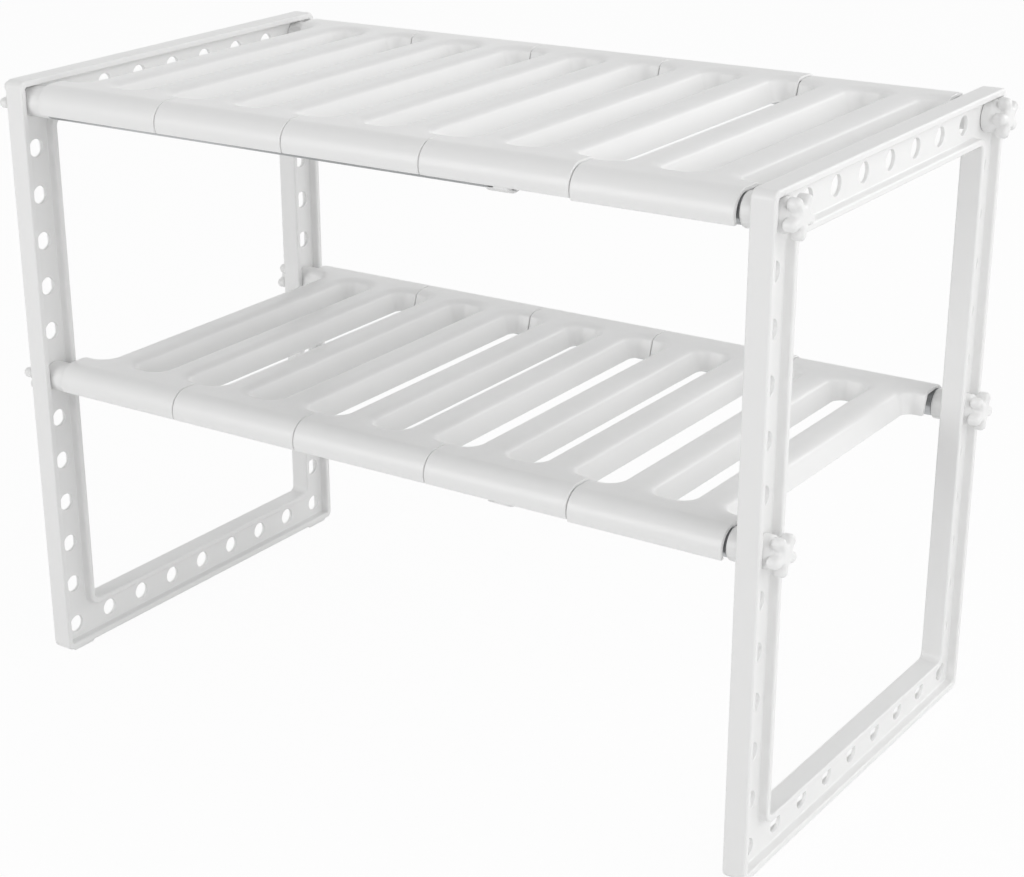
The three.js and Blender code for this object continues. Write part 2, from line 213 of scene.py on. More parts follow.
class MeshSketch:
    """A mesh in the making: rows of points in millimetres, joined by strips and flat fills."""

    FLAT_COSINE = 0.99999
    SHARP_ANGLE = 38.0

    def __init__(self) -> None:
        """Starts an empty sketch."""
        self.bm = bmesh.new()

    def row(self, points: Iterable[Place]) -> Row:
        """Adds a row of points."""
        return [self.bm.verts.new(point) for point in points]

    def around(self, points: Iterable[Place], axis: Point = (0.0, 0.0)) -> Row:
        """Adds a row of points round an axis along X.

        Args:
            points: Points as (x, radius, angle in radians).
            axis: Place of the axis as (y, z).

        Returns:
            The row.
        """
        y, z = axis
        return self.row((x, y + radius * math.cos(a), z + radius * math.sin(a)) for x, radius, a in points)

    def skin(self, rows: Sequence[Row], closed: bool, ring: bool = False) -> None:
        """Joins each row to the next one by a strip of faces.

        Args:
            rows: Rows of the same length.
            closed: Whether each row is a closed loop.
            ring: Whether the last row joins the first one too.
        """
        pairs = list(zip(rows, rows[1:]))
        if ring:
            pairs.append((rows[-1], rows[0]))
        for first, second in pairs:
            count = len(first)
            for i in range(count if closed else count - 1):
                j = (i + 1) % count
                self.bm.faces.new((first[i], first[j], second[j], second[i]))

    def fill(self, *loops: Row) -> None:
        """Fills the flat area inside the first loop and outside the others.

        Args:
            *loops: Closed rows of points, the outer one first.
        """
        edges = []
        for loop in loops:
            for first, second in zip(loop, loop[1:] + loop[:1]):
                found = self.bm.edges.get((first, second))
                edges.append(found or self.bm.edges.new((first, second)))
        bmesh.ops.triangle_fill(self.bm, use_beauty=True, use_dissolve=False, edges=edges)

    def turned(self, section: Sequence[Point], sides: int, axis: Point = (0.0, 0.0)) -> list[Row]:
        """Adds a closed row of points round an axis for each point of a section.

        Args:
            section: Points of the section as (radius, x).
            sides: Number of points round the axis.
            axis: Place of the axis as (y, z).

        Returns:
            The rows in the section's order.
        """
        angles = [2 * math.pi * side / sides for side in range(sides)]
        return [self.around(((x, radius, a) for a in angles), axis) for radius, x in section]

    def weld(self, distance: float = 0.004) -> None:
        """Joins points that fall together, and drops the empty faces between them."""
        bmesh.ops.remove_doubles(self.bm, verts=self.bm.verts, dist=distance)

    def finished(self, name: str) -> Mesh:
        """Turns the sketch into a mesh in metres whose flat areas shade flat.

        Args:
            name: Name of the mesh.

        Returns:
            The finished mesh.
        """
        bmesh.ops.recalc_face_normals(self.bm, faces=self.bm.faces)
        for face in self.bm.faces:
            face.smooth = True
        normals = self.corner_normals()
        mesh = bpy.data.meshes.new(name)
        self.bm.to_mesh(mesh)
        self.bm.free()
        mesh.transform(Matrix.Scale(MM, 4))
        mesh.normals_split_custom_set(normals)
        return mesh

    def flat_areas(self) -> list[float]:
        """Sizes the flat area that each face belongs to.

        Returns:
            One area for each face, in the order of the faces.
        """
        self.bm.faces.index_update()
        areas = [0.0] * len(self.bm.faces)
        seen: set[int] = set()
        for face in self.bm.faces:
            if face.index in seen:
                continue
            seen.add(face.index)
            group = [face]
            for member in group:
                for edge in member.edges:
                    for other in edge.link_faces:
                        if other.index not in seen and other.normal.dot(face.normal) > self.FLAT_COSINE:
                            seen.add(other.index)
                            group.append(other)
            total = sum(member.calc_area() for member in group)
            for member in group:
                areas[member.index] = total
        return areas

    def corner_normals(self) -> list[Vector]:
        """Finds the normal of each face corner, led by the widest flat area that meets there.

        Returns:
            One normal for each corner, in the order of the mesh loops.
        """
        areas = self.flat_areas()
        limit = math.cos(math.radians(self.SHARP_ANGLE))
        normals: list[Vector] = []
        for face in self.bm.faces:
            for loop in face.loops:
                fan = [loop]
                for member in fan:
                    for edge in (member.edge, member.link_loop_prev.edge):
                        for other in edge.link_faces:
                            if other is member.face or other.normal.dot(member.face.normal) < limit:
                                continue
                            twin = next(corner for corner in other.loops if corner.vert is loop.vert)
                            if twin not in fan:
                                fan.append(twin)
                total = Vector()
                for member in fan:
                    total += member.face.normal * (areas[member.face.index] * member.calc_angle())
                normals.append(total.normalized())
        return normals


def turned_mesh(name: str, section: Sequence[Point], sides: int) -> Mesh:
    """Turns a closed section round the X axis.

    Args:
        name: Name of the mesh.
        section: Points of the section as (radius, x).
        sides: Number of points round the axis.

    Returns:
        The mesh.
    """
    sketch = MeshSketch()
    sketch.skin(sketch.turned(section, sides), closed=True, ring=True)
    return sketch.finished(name)


def opaque(colour: Colour) -> Paint:
    """Colour with a full alpha."""
    return (*colour, 1.0)


def add_group(name: str, inputs: dict[str, float | Colour], outputs: dict[str, str]) -> NodeTree:
    """Starts a shader node group with named sockets.

    Args:
        name: Name of the group.
        inputs: Default of each input; three numbers make a colour socket.
        outputs: Socket type of each output.

    Returns:
        The node tree, with its group input and output nodes.
    """
    tree = bpy.data.node_groups.new(name, "ShaderNodeTree")
    for label, default in inputs.items():
        plain = isinstance(default, float)
        kind = FLOAT_SOCKET if plain else COLOUR_SOCKET
        socket = tree.interface.new_socket(name=label, in_out="INPUT", socket_type=kind)
        socket.default_value = default if plain else opaque(default)
    for label, kind in outputs.items():
        tree.interface.new_socket(name=label, in_out="OUTPUT", socket_type=kind)
    tree.nodes.new("NodeGroupInput").name = "In"
    tree.nodes.new("NodeGroupOutput").name = "Out"
    return tree


def add_node(
    tree: NodeTree, kind: str, values: dict[str | int, object] | None = None, **settings: object
) -> Node:
    """Adds a node and sets its properties and unlinked inputs.

    Args:
        tree: Tree that gets the node.
        kind: Node type.
        values: Values or source sockets by input name or index.
        **settings: Properties of the node.

    Returns:
        The new node.
    """
    node = tree.nodes.new(kind)
    for key, setting in settings.items():
        setattr(node, key, setting)
    for key, value in (values or {}).items():
        if isinstance(value, NodeSocket):
            tree.links.new(value, node.inputs[key])
        else:
            node.inputs[key].default_value = value
    return node


def add_math(tree: NodeTree, operation: str, *values: float | NodeSocket) -> NodeSocket:
    """Adds a math node.

    Args:
        tree: Tree that gets the node.
        operation: What the node works out.
        *values: Numbers or source sockets in their order.

    Returns:
        Socket of the result.
    """
    return add_node(tree, "ShaderNodeMath", dict(enumerate(values)), operation=operation).outputs[0]


def add_ramp(tree: NodeTree, value: NodeSocket, limits: Point) -> NodeSocket:
    """Adds a rise from 0 at a lower limit to 1 at an upper one.

    Args:
        tree: Tree that gets the node.
        value: Socket of the value.
        limits: Lower and upper limit.

    Returns:
        Socket of the result.
    """
    return add_node(tree, "ShaderNodeMapRange", {0: value, 1: limits[0], 2: limits[1]}).outputs[0]


def add_noise(tree: NodeTree, values: dict[str, object], stretch: Place = (1.0, 1.0, 1.0)) -> NodeSocket:
    """Adds noise that keeps its place on the piece.

    Args:
        tree: Tree that gets the nodes.
        values: Values or source sockets of the noise by input name.
        stretch: Scale along the piece's X, Y and Z; a small one draws the noise out.

    Returns:
        Socket of the noise.
    """
    place = add_node(tree, "ShaderNodeTexCoord")
    drawn = add_node(tree, "ShaderNodeMapping", {"Vector": place.outputs["Object"], "Scale": stretch})
    return add_node(tree, "ShaderNodeTexNoise", {"Vector": drawn.outputs[0], **values}).outputs["Fac"]


def mix_colours(
    tree: NodeTree, share: NodeSocket, first: NodeSocket | Paint, second: NodeSocket | Paint
) -> NodeSocket:
    """Adds a mix of two colours.

    Args:
        tree: Tree that gets the node.
        share: Socket of the second colour's share.
        first: Source socket or colour at a share of 0.
        second: Source socket or colour at a share of 1.

    Returns:
        Socket of the mixed colour.
    """
    values = {"Factor": share, 6: first, 7: second}
    return add_node(tree, "ShaderNodeMix", values, data_type="RGBA").outputs[2]


@dataclass
class SurfaceEffects:
    """Node groups that several finishes share, each built once."""

    sheen_scale: float = 26.0
    flow_stretch: Place = (0.45, 1.0, 1.0)
    line_stretch: Place = (0.012, 1.0, 1.0)
    speck_limits: Point = (0.42, 0.72)
    slope_limits: Point = (0.3, 0.95)

    def __post_init__(self) -> None:
        """Builds the groups."""
        self.grain = self.build_grain()
        self.tone = self.build_tone()
        self.dust = self.build_dust()
        self.drawing = self.build_drawing()

    def vary_roughness(self, tree: NodeTree, noise: NodeSocket) -> None:
        """Spreads a group's roughness by a noise.

        Args:
            tree: Group with Roughness and Spread inputs and a Roughness output.
            noise: Socket of the noise.
        """
        given = tree.nodes["In"].outputs
        lean = add_math(tree, "SUBTRACT", noise, 0.5)
        rough = add_math(tree, "MULTIPLY_ADD", lean, given["Spread"], given["Roughness"])
        tree.links.new(rough, tree.nodes["Out"].inputs["Roughness"])

    def build_grain(self) -> NodeTree:
        """Builds the fine spark-eroded grain of a mould's surface.

        Returns:
            Group with a height and a roughness output.
        """
        tree = add_group(
            "MouldGrain",
            {"Scale": 900.0, "Roughness": 0.45, "Spread": 0.1},
            {"Height": FLOAT_SOCKET, "Roughness": FLOAT_SOCKET},
        )
        scale = tree.nodes["In"].outputs["Scale"]
        fine = add_noise(tree, {"Scale": scale, "Detail": 3.0, "Roughness": 0.6})
        tree.links.new(fine, tree.nodes["Out"].inputs["Height"])
        self.vary_roughness(tree, add_noise(tree, {"Scale": self.sheen_scale, "Detail": 4.0}))
        return tree

    def build_tone(self) -> NodeTree:
        """Builds the faint cloudiness that melt flow leaves in white plastic.

        Returns:
            Group with a colour output.
        """
        tree = add_group(
            "FlowTone",
            {"Colour": (0.8, 0.8, 0.8), "Flow Colour": (0.76, 0.76, 0.76), "Scale": 14.0, "Amount": 0.5},
            {"Colour": COLOUR_SOCKET},
        )
        given = tree.nodes["In"].outputs
        values = {"Scale": given["Scale"], "Detail": 5.0, "Distortion": 0.8}
        share = add_math(tree, "MULTIPLY", add_noise(tree, values, self.flow_stretch), given["Amount"])
        mixed = mix_colours(tree, share, given["Colour"], given["Flow Colour"])
        tree.links.new(mixed, tree.nodes["Out"].inputs["Colour"])
        return tree

    def build_dust(self) -> NodeTree:
        """Builds the thin dust that settles on faces which look up.

        Returns:
            Group with a mask output.
        """
        tree = add_group("SettledDust", {"Scale": 60.0, "Amount": 0.1}, {"Mask": FLOAT_SOCKET})
        given = tree.nodes["In"].outputs
        speck = add_noise(tree, {"Scale": given["Scale"], "Detail": 6.0, "Roughness": 0.7})
        normal = add_node(tree, "ShaderNodeTexCoord").outputs["Normal"]
        facing = add_node(tree, "ShaderNodeSeparateXYZ", {0: normal}).outputs["Z"]
        patch = add_ramp(tree, speck, self.speck_limits)
        both = add_math(tree, "MULTIPLY", patch, add_ramp(tree, facing, self.slope_limits))
        mask = add_math(tree, "MULTIPLY", both, given["Amount"])
        tree.links.new(mask, tree.nodes["Out"].inputs["Mask"])
        return tree

    def build_drawing(self) -> NodeTree:
        """Builds the fine lines that drawing leaves along a steel tube.

        Returns:
            Group with a height, a roughness and a tone output.
        """
        tree = add_group(
            "DrawnLines",
            {"Scale": 700.0, "Roughness": 0.32, "Spread": 0.16},
            {"Height": FLOAT_SOCKET, "Roughness": FLOAT_SOCKET, "Tone": FLOAT_SOCKET},
        )
        scale = tree.nodes["In"].outputs["Scale"]
        lines = add_noise(tree, {"Scale": scale, "Detail": 4.0, "Roughness": 0.65}, self.line_stretch)
        for label in ("Height", "Tone"):
            tree.links.new(lines, tree.nodes["Out"].inputs[label])
        self.vary_roughness(tree, lines)
        return tree


def start_material(name: str) -> tuple[NodeTree, Node]:
    """Starts a node material.

    Args:
        name: Name of the material.

    Returns:
        Its node tree and its Principled shader.
    """
    material = bpy.data.materials.new(name)
    material.use_nodes = True
    tree = material.node_tree
    return tree, tree.nodes["Principled BSDF"]


def link_surface(tree: NodeTree, shader: Node, colour: NodeSocket, relief: Node, bump: Point) -> None:
    """Links a colour and a relief to a material's shader.

    Args:
        tree: Tree of the material.
        shader: Principled shader.
        colour: Socket of the colour.
        relief: Group node with Height and Roughness outputs.
        bump: Strength of the relief, and its depth in metres.
    """
    values = {"Height": relief.outputs["Height"], "Strength": bump[0], "Distance": bump[1]}
    normal = add_node(tree, "ShaderNodeBump", values).outputs["Normal"]
    tree.links.new(colour, shader.inputs["Base Color"])
    tree.links.new(relief.outputs["Roughness"], shader.inputs["Roughness"])
    tree.links.new(normal, shader.inputs["Normal"])


@dataclass(frozen=True)
class MouldedPlastic:
    """White satin plastic with a mould's grain, flow tone and a little dust."""

    name: str
    colour: Colour = (0.895, 0.895, 0.891)
    flow_colour: Colour = (0.865, 0.865, 0.861)
    dust_colour: Colour = (0.60, 0.59, 0.57)
    roughness: float = 0.36
    refraction: float = 1.49
    grain_scale: float = 1100.0
    grain_bump: Point = (0.35, 0.000012)
    dust_amount: float = 0.05
    flow_scale: float = 14.0

    def material(self, effects: SurfaceEffects) -> Material:
        """Builds the finish.

        Args:
            effects: Shared node groups.

        Returns:
            The material.
        """
        tree, shader = start_material(self.name)
        flow = {
            "Colour": opaque(self.colour),
            "Flow Colour": opaque(self.flow_colour),
            "Scale": self.flow_scale,
        }
        grit = {"Scale": self.grain_scale, "Roughness": self.roughness}
        tone = add_node(tree, "ShaderNodeGroup", flow, node_tree=effects.tone)
        dust = add_node(tree, "ShaderNodeGroup", {"Amount": self.dust_amount}, node_tree=effects.dust)
        grain = add_node(tree, "ShaderNodeGroup", grit, node_tree=effects.grain)
        dusty = mix_colours(tree, dust.outputs["Mask"], tone.outputs["Colour"], opaque(self.dust_colour))
        link_surface(tree, shader, dusty, grain, self.grain_bump)
        shader.inputs["IOR"].default_value = self.refraction
        return bpy.data.materials[self.name]


@dataclass(frozen=True)
class DrawnSteel:
    """Plain steel tube with drawing lines along it."""

    name: str
    colour: Colour = (0.50, 0.51, 0.52)
    dull_colour: Colour = (0.40, 0.41, 0.42)
    roughness: float = 0.34
    line_bump: Point = (0.3, 0.00001)

    def material(self, effects: SurfaceEffects) -> Material:
        """Builds the finish.

        Args:
            effects: Shared node groups.

        Returns:
            The material.
        """
        tree, shader = start_material(self.name)
        lines = add_node(tree, "ShaderNodeGroup", {"Roughness": self.roughness}, node_tree=effects.drawing)
        colour = mix_colours(tree, lines.outputs["Tone"], opaque(self.colour), opaque(self.dull_colour))
        link_surface(tree, shader, colour, lines, self.line_bump)
        shader.inputs["Metallic"].default_value = 1.0
        return bpy.data.materials[self.name]


class FinishBook:
    """The finish of each material slot."""

    def __init__(self) -> None:
        """Builds all finishes from the shared effects."""
        effects = SurfaceEffects()
        self.materials: dict[Slot, Material] = {
            Slot.FRAME: MouldedPlastic("frame_white", flow_scale=9.0).material(effects),
            Slot.PANEL: MouldedPlastic("panel_white", roughness=0.34, dust_amount=0.06).material(effects),
            Slot.FITTING: MouldedPlastic("fitting_white", grain_scale=1500.0).material(effects),
            Slot.KNOB: MouldedPlastic("knob_white", roughness=0.34, flow_scale=40.0).material(effects),
            Slot.TUBE: DrawnSteel("tube_drawn_steel").material(effects),
        }

    def dress(self, piece: Object, slot: Slot) -> None:
        """Gives a piece the finish of its slot.

        Args:
            piece: The piece, whose mesh may be shared and dressed already.
            slot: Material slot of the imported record.
        """
        if not piece.data.materials:
            piece.data.materials.append(self.materials[slot])


def add_object(name: str, data: bpy.types.ID) -> Object:
    """Adds an object that shows a mesh, a light or a camera.

    Args:
        name: Name of the object.
        data: What it shows.

    Returns:
        The object, at the origin.
    """
    added = bpy.data.objects.new(name, data)
    bpy.context.scene.collection.objects.link(added)
    return added


def add_piece(
    name: str, mesh: Mesh, node: str, body: str, place: Place, turn: Place = (0.0, 0.0, 0.0)
) -> Object:
    """Puts a mesh where a CAD node is and lets it ride on the node's body.

    Args:
        name: Name of the new piece.
        mesh: Mesh in metres, which several pieces may share.
        node: CAD node that the piece stands for.
        body: CAD body that carries it.
        place: Place of the mesh's origin in millimetres.
        turn: Turn about X, Y and Z in degrees.

    Returns:
        The new piece.
    """
    piece = add_object(name, mesh)
    piece.location = [value * MM for value in place]
    piece.rotation_euler = [math.radians(value) for value in turn]
    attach(piece, body)
    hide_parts(node)
    log.info("%s stands for %s on %s, %d faces", name, node, body, len(mesh.polygons))
    return piece


class SubAssembly:
    """A group of pieces that are built together and dressed by their material slots."""

    def build(self) -> Pieces:
        """Places the pieces and returns them by material slot."""
        raise NotImplementedError

    def dress(self, pieces: Pieces, finishes: FinishBook) -> None:
        """Gives the pieces their finishes.

        Args:
            pieces: The pieces by material slot.
            finishes: The finish of each slot.
        """
        for slot, members in pieces.items():
            for piece in members:
                finishes.dress(piece, slot)


@dataclass
class SideFrames(SubAssembly):
    """Both moulded side frames: I-section bars with peg holes round an open window."""

    web_plane: float = WEB_PLANE
    half_depth: float = 144.4
    low: float = 2.0
    high: float = 390.8
    bar: float = 28.8
    half_thickness: float = 7.0
    half_web: float = 1.2
    flange: float = 4.4
    corner_round: float = 5.0
    recess_round: float = 1.2
    window_round: float = 4.0
    edge_round: float = 1.3
    web_fillet: float = 1.0
    least_round: float = 0.3
    corner_steps: int = 8
    edge_steps: int = 5
    fillet_steps: int = 3
    hole_radius: float = 5.7
    hole_edge: float = 0.5
    hole_sides: int = 36
    hole_pitch: Point = (32.5, 30.0)
    hole_count: tuple[int, int] = (9, 13)
    foot_drop: float = 2.0
    foot_span: tuple[float, float, float, float] = (117.4, 119.9, 136.9, 139.0)
    foot_edges: tuple[Point, ...] = ((5.6, 0.0), (5.35, 0.85), (5.0, 1.0))
    foot_margin: float = 0.05

    def flange_section(self) -> list[Point]:
        """Draws half of a flange's section, from the web round the flange's free edge.

        Returns:
            Points as (distance from the bar's edge, x).
        """
        top, edge, fillet = self.half_thickness, self.edge_round, self.web_fillet
        return (
            arc_points((self.flange + fillet, self.half_web + fillet), fillet, 270, 180, self.fillet_steps)
            + arc_points((self.flange - edge, top - edge), edge, 0, 90, self.edge_steps)
            + arc_points((edge, top - edge), edge, 90, 180, self.edge_steps)
        )

    def rim_round(self, inset: float) -> float:
        """Corner radius of the outer rim at a distance from the frame's edge."""
        slope = (self.corner_round - self.recess_round) / self.flange
        return max(self.least_round, self.corner_round - inset * slope)

    def rim_points(self, inset: float, drop: float) -> list[Point]:
        """Outlines the outer rim, with points along its bottom side for the foot pads.

        Args:
            inset: Distance from the frame's edge.
            drop: Share of the foot's drop that the pads take here.

        Returns:
            Points as (y, z).
        """
        half, low, radius = self.half_depth - inset, self.low + inset, self.rim_round(inset)
        points = rounded_rect(half, low, self.high - inset, radius, self.corner_steps)
        straight = half - radius - self.foot_margin
        shares = (0.0, 1.0, 1.0, 0.0)
        marks = [(-y, share) for y, share in zip(reversed(self.foot_span), shares)]
        marks += list(zip(self.foot_span, shares))
        for y, share in marks:
            points.append((max(-straight, min(straight, y)), low - self.foot_drop * share * drop))
        return points

    def window_points(self, outset: float) -> list[Point]:
        """Outlines the window's rim at a distance outside the window.

        Args:
            outset: Distance outside the window.

        Returns:
            Points as (y, z).
        """
        reach = self.bar - outset
        half, low, high = self.half_depth - reach, self.low + reach, self.high - reach
        return rounded_rect(half, low, high, self.window_round + outset, self.corner_steps)

    def peg_places(self) -> list[Point]:
        """Lists the peg holes' places: along both posts and both bars.

        Returns:
            Places as (y, z).
        """
        columns, rows = self.hole_count
        start_y = -self.hole_pitch[0] * (columns - 1) / 2
        start_z = self.low + self.bar / 2
        return [
            (start_y + column * self.hole_pitch[0], start_z + row * self.hole_pitch[1])
            for row in range(rows)
            for column in range(columns)
            if column in (0, columns - 1) or row in (0, rows - 1)
        ]

    def mesh(self) -> Mesh:
        """Builds one frame about its web's mid-plane.

        Returns:
            The frame's mesh.
        """
        sketch = MeshSketch()
        half = self.flange_section()
        far = [(d, -x) for d, x in reversed(half)]
        pads = [(0.0, x, share) for x, share in self.foot_edges]
        pads += [(0.0, -x, share) for x, share in reversed(self.foot_edges)]
        outer = [(d, x, 0.0) for d, x in half] + pads + [(d, x, 0.0) for d, x in far]
        rim = [sketch.row((x, y, z) for y, z in self.rim_points(d, drop)) for d, x, drop in outer]
        window = [sketch.row((x, y, z) for y, z in self.window_points(d)) for d, x in half + far]
        sketch.skin(rim, closed=True)
        sketch.skin(window, closed=True)
        soft = self.hole_edge
        middle = (self.hole_radius + soft, self.half_web - soft)
        edge = arc_points(middle, soft, 90, 180, self.fillet_steps)
        bore = edge + [(radius, -x) for radius, x in reversed(edge)]
        near_holes: list[Row] = []
        far_holes: list[Row] = []
        for place in self.peg_places():
            rows = sketch.turned(bore, self.hole_sides, place)
            sketch.skin(rows, closed=True)
            near_holes.append(rows[0])
            far_holes.append(rows[-1])
        sketch.fill(rim[0], window[0], *near_holes)
        sketch.fill(rim[-1], window[-1], *far_holes)
        return sketch.finished("side_frame_moulding")

    def build(self) -> Pieces:
        """Places the left and the right frame.

        Returns:
            The frames by material slot.
        """
        mesh = self.mesh()
        frames: list[Object] = []
        for side in Side:
            place = (side.sign * self.web_plane, 0.0, 0.0)
            name, node = f"{side.label}_frame_moulding", f"{side.label}_side_frame"
            frames.append(add_piece(name, mesh, node, side.body, place))
        return {Slot.FRAME: frames}


@dataclass
class ShelfPanels(SubAssembly):
    """The slatted panels of both tiers: shells with a rail over each tube and round-ended slots."""

    count: int = 5
    pitch: float = 96.0
    seam: float = 0.5
    last_end: float = 240.85
    last_drop: float = 1.2
    rail_axis: float = TUBE_AXIS
    top: float = 12.4
    wall: float = 2.6
    lip: float = 5.4
    slat_skirt: float = 2.4
    rim_round: float = 0.5
    end_round: float = 0.7
    slot_half_width: float = 12.9
    seam_slot_half_width: float = 15.1
    slot_half_length: float = 115.0
    slot_round: float = 10.0
    slot_flare: Point = (7.5, 3.6)
    slot_lean: float = 3.5
    ceiling_fillet: float = 1.0
    rail_steps: int = 18
    tube_steps: int = 12
    lip_steps: int = 4
    slot_steps: int = 10
    flare_steps: int = 14
    edge_steps: int = 3

    @property
    def half_width(self) -> float:
        """Half of a panel's width."""
        return (self.pitch - self.seam) / 2

    def rail_section(self) -> list[Point]:
        """Draws a rail's section from the top face round the tube to the lip and back to the ceiling.

        Returns:
            Points as (distance from the panel's middle, height).
        """
        axis, edge, rise = (self.rail_axis, 0.0), self.rim_round, self.lip - self.rim_round
        out, inside = self.top - edge, self.top - self.wall + edge
        front, back = -math.degrees(math.asin(rise / out)), -math.degrees(math.asin(rise / inside))
        tip, heel = arc_points(axis, out, front, 90, 1)[0], arc_points(axis, inside, back, 90, 1)[0]
        return (
            arc_points(axis, self.top, 90, front, self.rail_steps)
            + arc_points(tip, edge, front, -90, self.lip_steps)[1:]
            + arc_points(heel, edge, 270, 180 + back, self.lip_steps)
            + arc_points(axis, self.top - self.wall, back, 90, self.tube_steps)[1:]
        )

    def wall_section(self) -> list[Point]:
        """Draws a slot wall's section from the flare on the top face down and round to the ceiling.

        Returns:
            Points as (distance outside the slot's outline, height).
        """
        edge, fillet, ceiling = self.rim_round, self.ceiling_fillet, self.top - self.wall
        foot, lean = edge - self.slat_skirt, self.slot_lean
        wide, deep = self.slot_flare
        quarter = arc_points((0.0, 0.0), 1.0, 90, 180, self.flare_steps)
        return (
            [(wide * (1.0 + out), self.top - deep * (1.0 - up)) for out, up in quarter]
            + arc_points((edge - lean, foot), edge, 180, 270, self.edge_steps)
            + arc_points((self.wall - edge - lean, foot), edge, 270, 360, self.edge_steps)
            + arc_points((self.wall + fillet, ceiling - fillet), fillet, 180, 90, self.edge_steps)
        )

    def full_slot(self, margin: float) -> list[Point]:
        """Outlines the slot in the panel's middle, grown by a margin."""
        half, reach = self.slot_half_width + margin, self.slot_half_length + margin
        return rounded_rect(half, -reach, reach, self.slot_round + margin, self.slot_steps)

    def half_slot(self, margin: float, sign: int) -> list[Point]:
        """Outlines the half slot at one end of the panel, from front to rear.

        Args:
            margin: How far the outline is grown.
            sign: 1 for the right end or -1 for the left one.

        Returns:
            Points as (x, y).
        """
        end = self.half_width - self.end_round
        reach = self.slot_half_length + margin
        round_x = self.pitch / 2 - self.seam_slot_half_width + self.slot_round
        round_y = self.slot_half_length - self.slot_round
        radius = self.slot_round + margin
        points = (
            [(end, -reach)]
            + arc_points((round_x, -round_y), radius, -90, -180, self.slot_steps)
            + arc_points((round_x, round_y), radius, 180, 90, self.slot_steps)
            + [(end, reach)]
        )
        return [(sign * x, y) for x, y in points]

    def close_end(self, sketch: MeshSketch, outline: Row, sign: int) -> None:
        """Closes one cut end of a rail with a softly rounded edge.

        Args:
            sketch: Sketch that gets the faces.
            outline: Closed row of points round the rail's section.
            sign: Direction of the end along X.
        """
        flat = [(vert.co.y, vert.co.z) for vert in outline]
        rows = [outline]
        soft = self.end_round
        for inset, ahead in arc_points((soft, 0.0), soft, 180, 90, self.edge_steps)[1:]:
            x = sign * (self.half_width - soft + ahead)
            rows.append(sketch.row((x, y, z) for y, z in inset_outline(flat, inset)))
        sketch.skin(rows, closed=True)
        sketch.fill(rows[-1])

    def mesh(self) -> Mesh:
        """Builds one panel about its own middle, at the height of the tubes' axes.

        Returns:
            The panel's mesh.
        """
        sketch = MeshSketch()
        end = self.half_width - self.end_round
        rail, wall = self.rail_section(), self.wall_section()
        signs = (-1, 1)
        rails = {s: [sketch.row(((-end, s * y, z), (end, s * y, z))) for y, z in rail] for s in signs}
        halves = {
            s: [sketch.row((x, y, z) for x, y in self.half_slot(margin, s)) for margin, z in wall]
            for s in signs
        }
        middle = [sketch.row((x, y, z) for x, y in self.full_slot(m)) for m, z in wall]
        for sign in signs:
            sketch.skin(rails[sign], closed=False)
            sketch.skin(halves[sign], closed=False)
        sketch.skin(middle, closed=True)
        for level in (0, -1):
            edge = (
                rails[-1][level]
                + halves[1][level]
                + list(reversed(rails[1][level]))
                + list(reversed(halves[-1][level]))
            )
            sketch.fill(edge, middle[level])
        for sign, side in ((-1, 0), (1, 1)):
            for end_sign, corner in ((-1, 0), (1, -1)):
                outline = [row[side] for row in rails[end_sign]]
                outline += [row[corner] for row in reversed(halves[sign])]
                self.close_end(sketch, outline, sign)
        return sketch.finished("shelf_panel_shell")

    def build(self) -> Pieces:
        """Places the panels of both tiers, from left to right.

        Returns:
            The panels by material slot.
        """
        mesh = self.mesh()
        panels: list[Object] = []
        for tier in Tier:
            for number in range(1, self.count + 1):
                node = f"{tier.label}_panel_{number}"
                body = {1: Side.LEFT.body, self.count: Side.RIGHT.body}.get(number, f"{node}_slider")
                x = self.last_end + self.seam / 2 - (self.count - number + 0.5) * self.pitch
                z = tier.axis_z - (self.last_drop if number == self.count else 0.0)
                panels.append(add_piece(f"{node}_shell", mesh, node, body, (x, 0.0, z)))
        return {Slot.PANEL: panels}


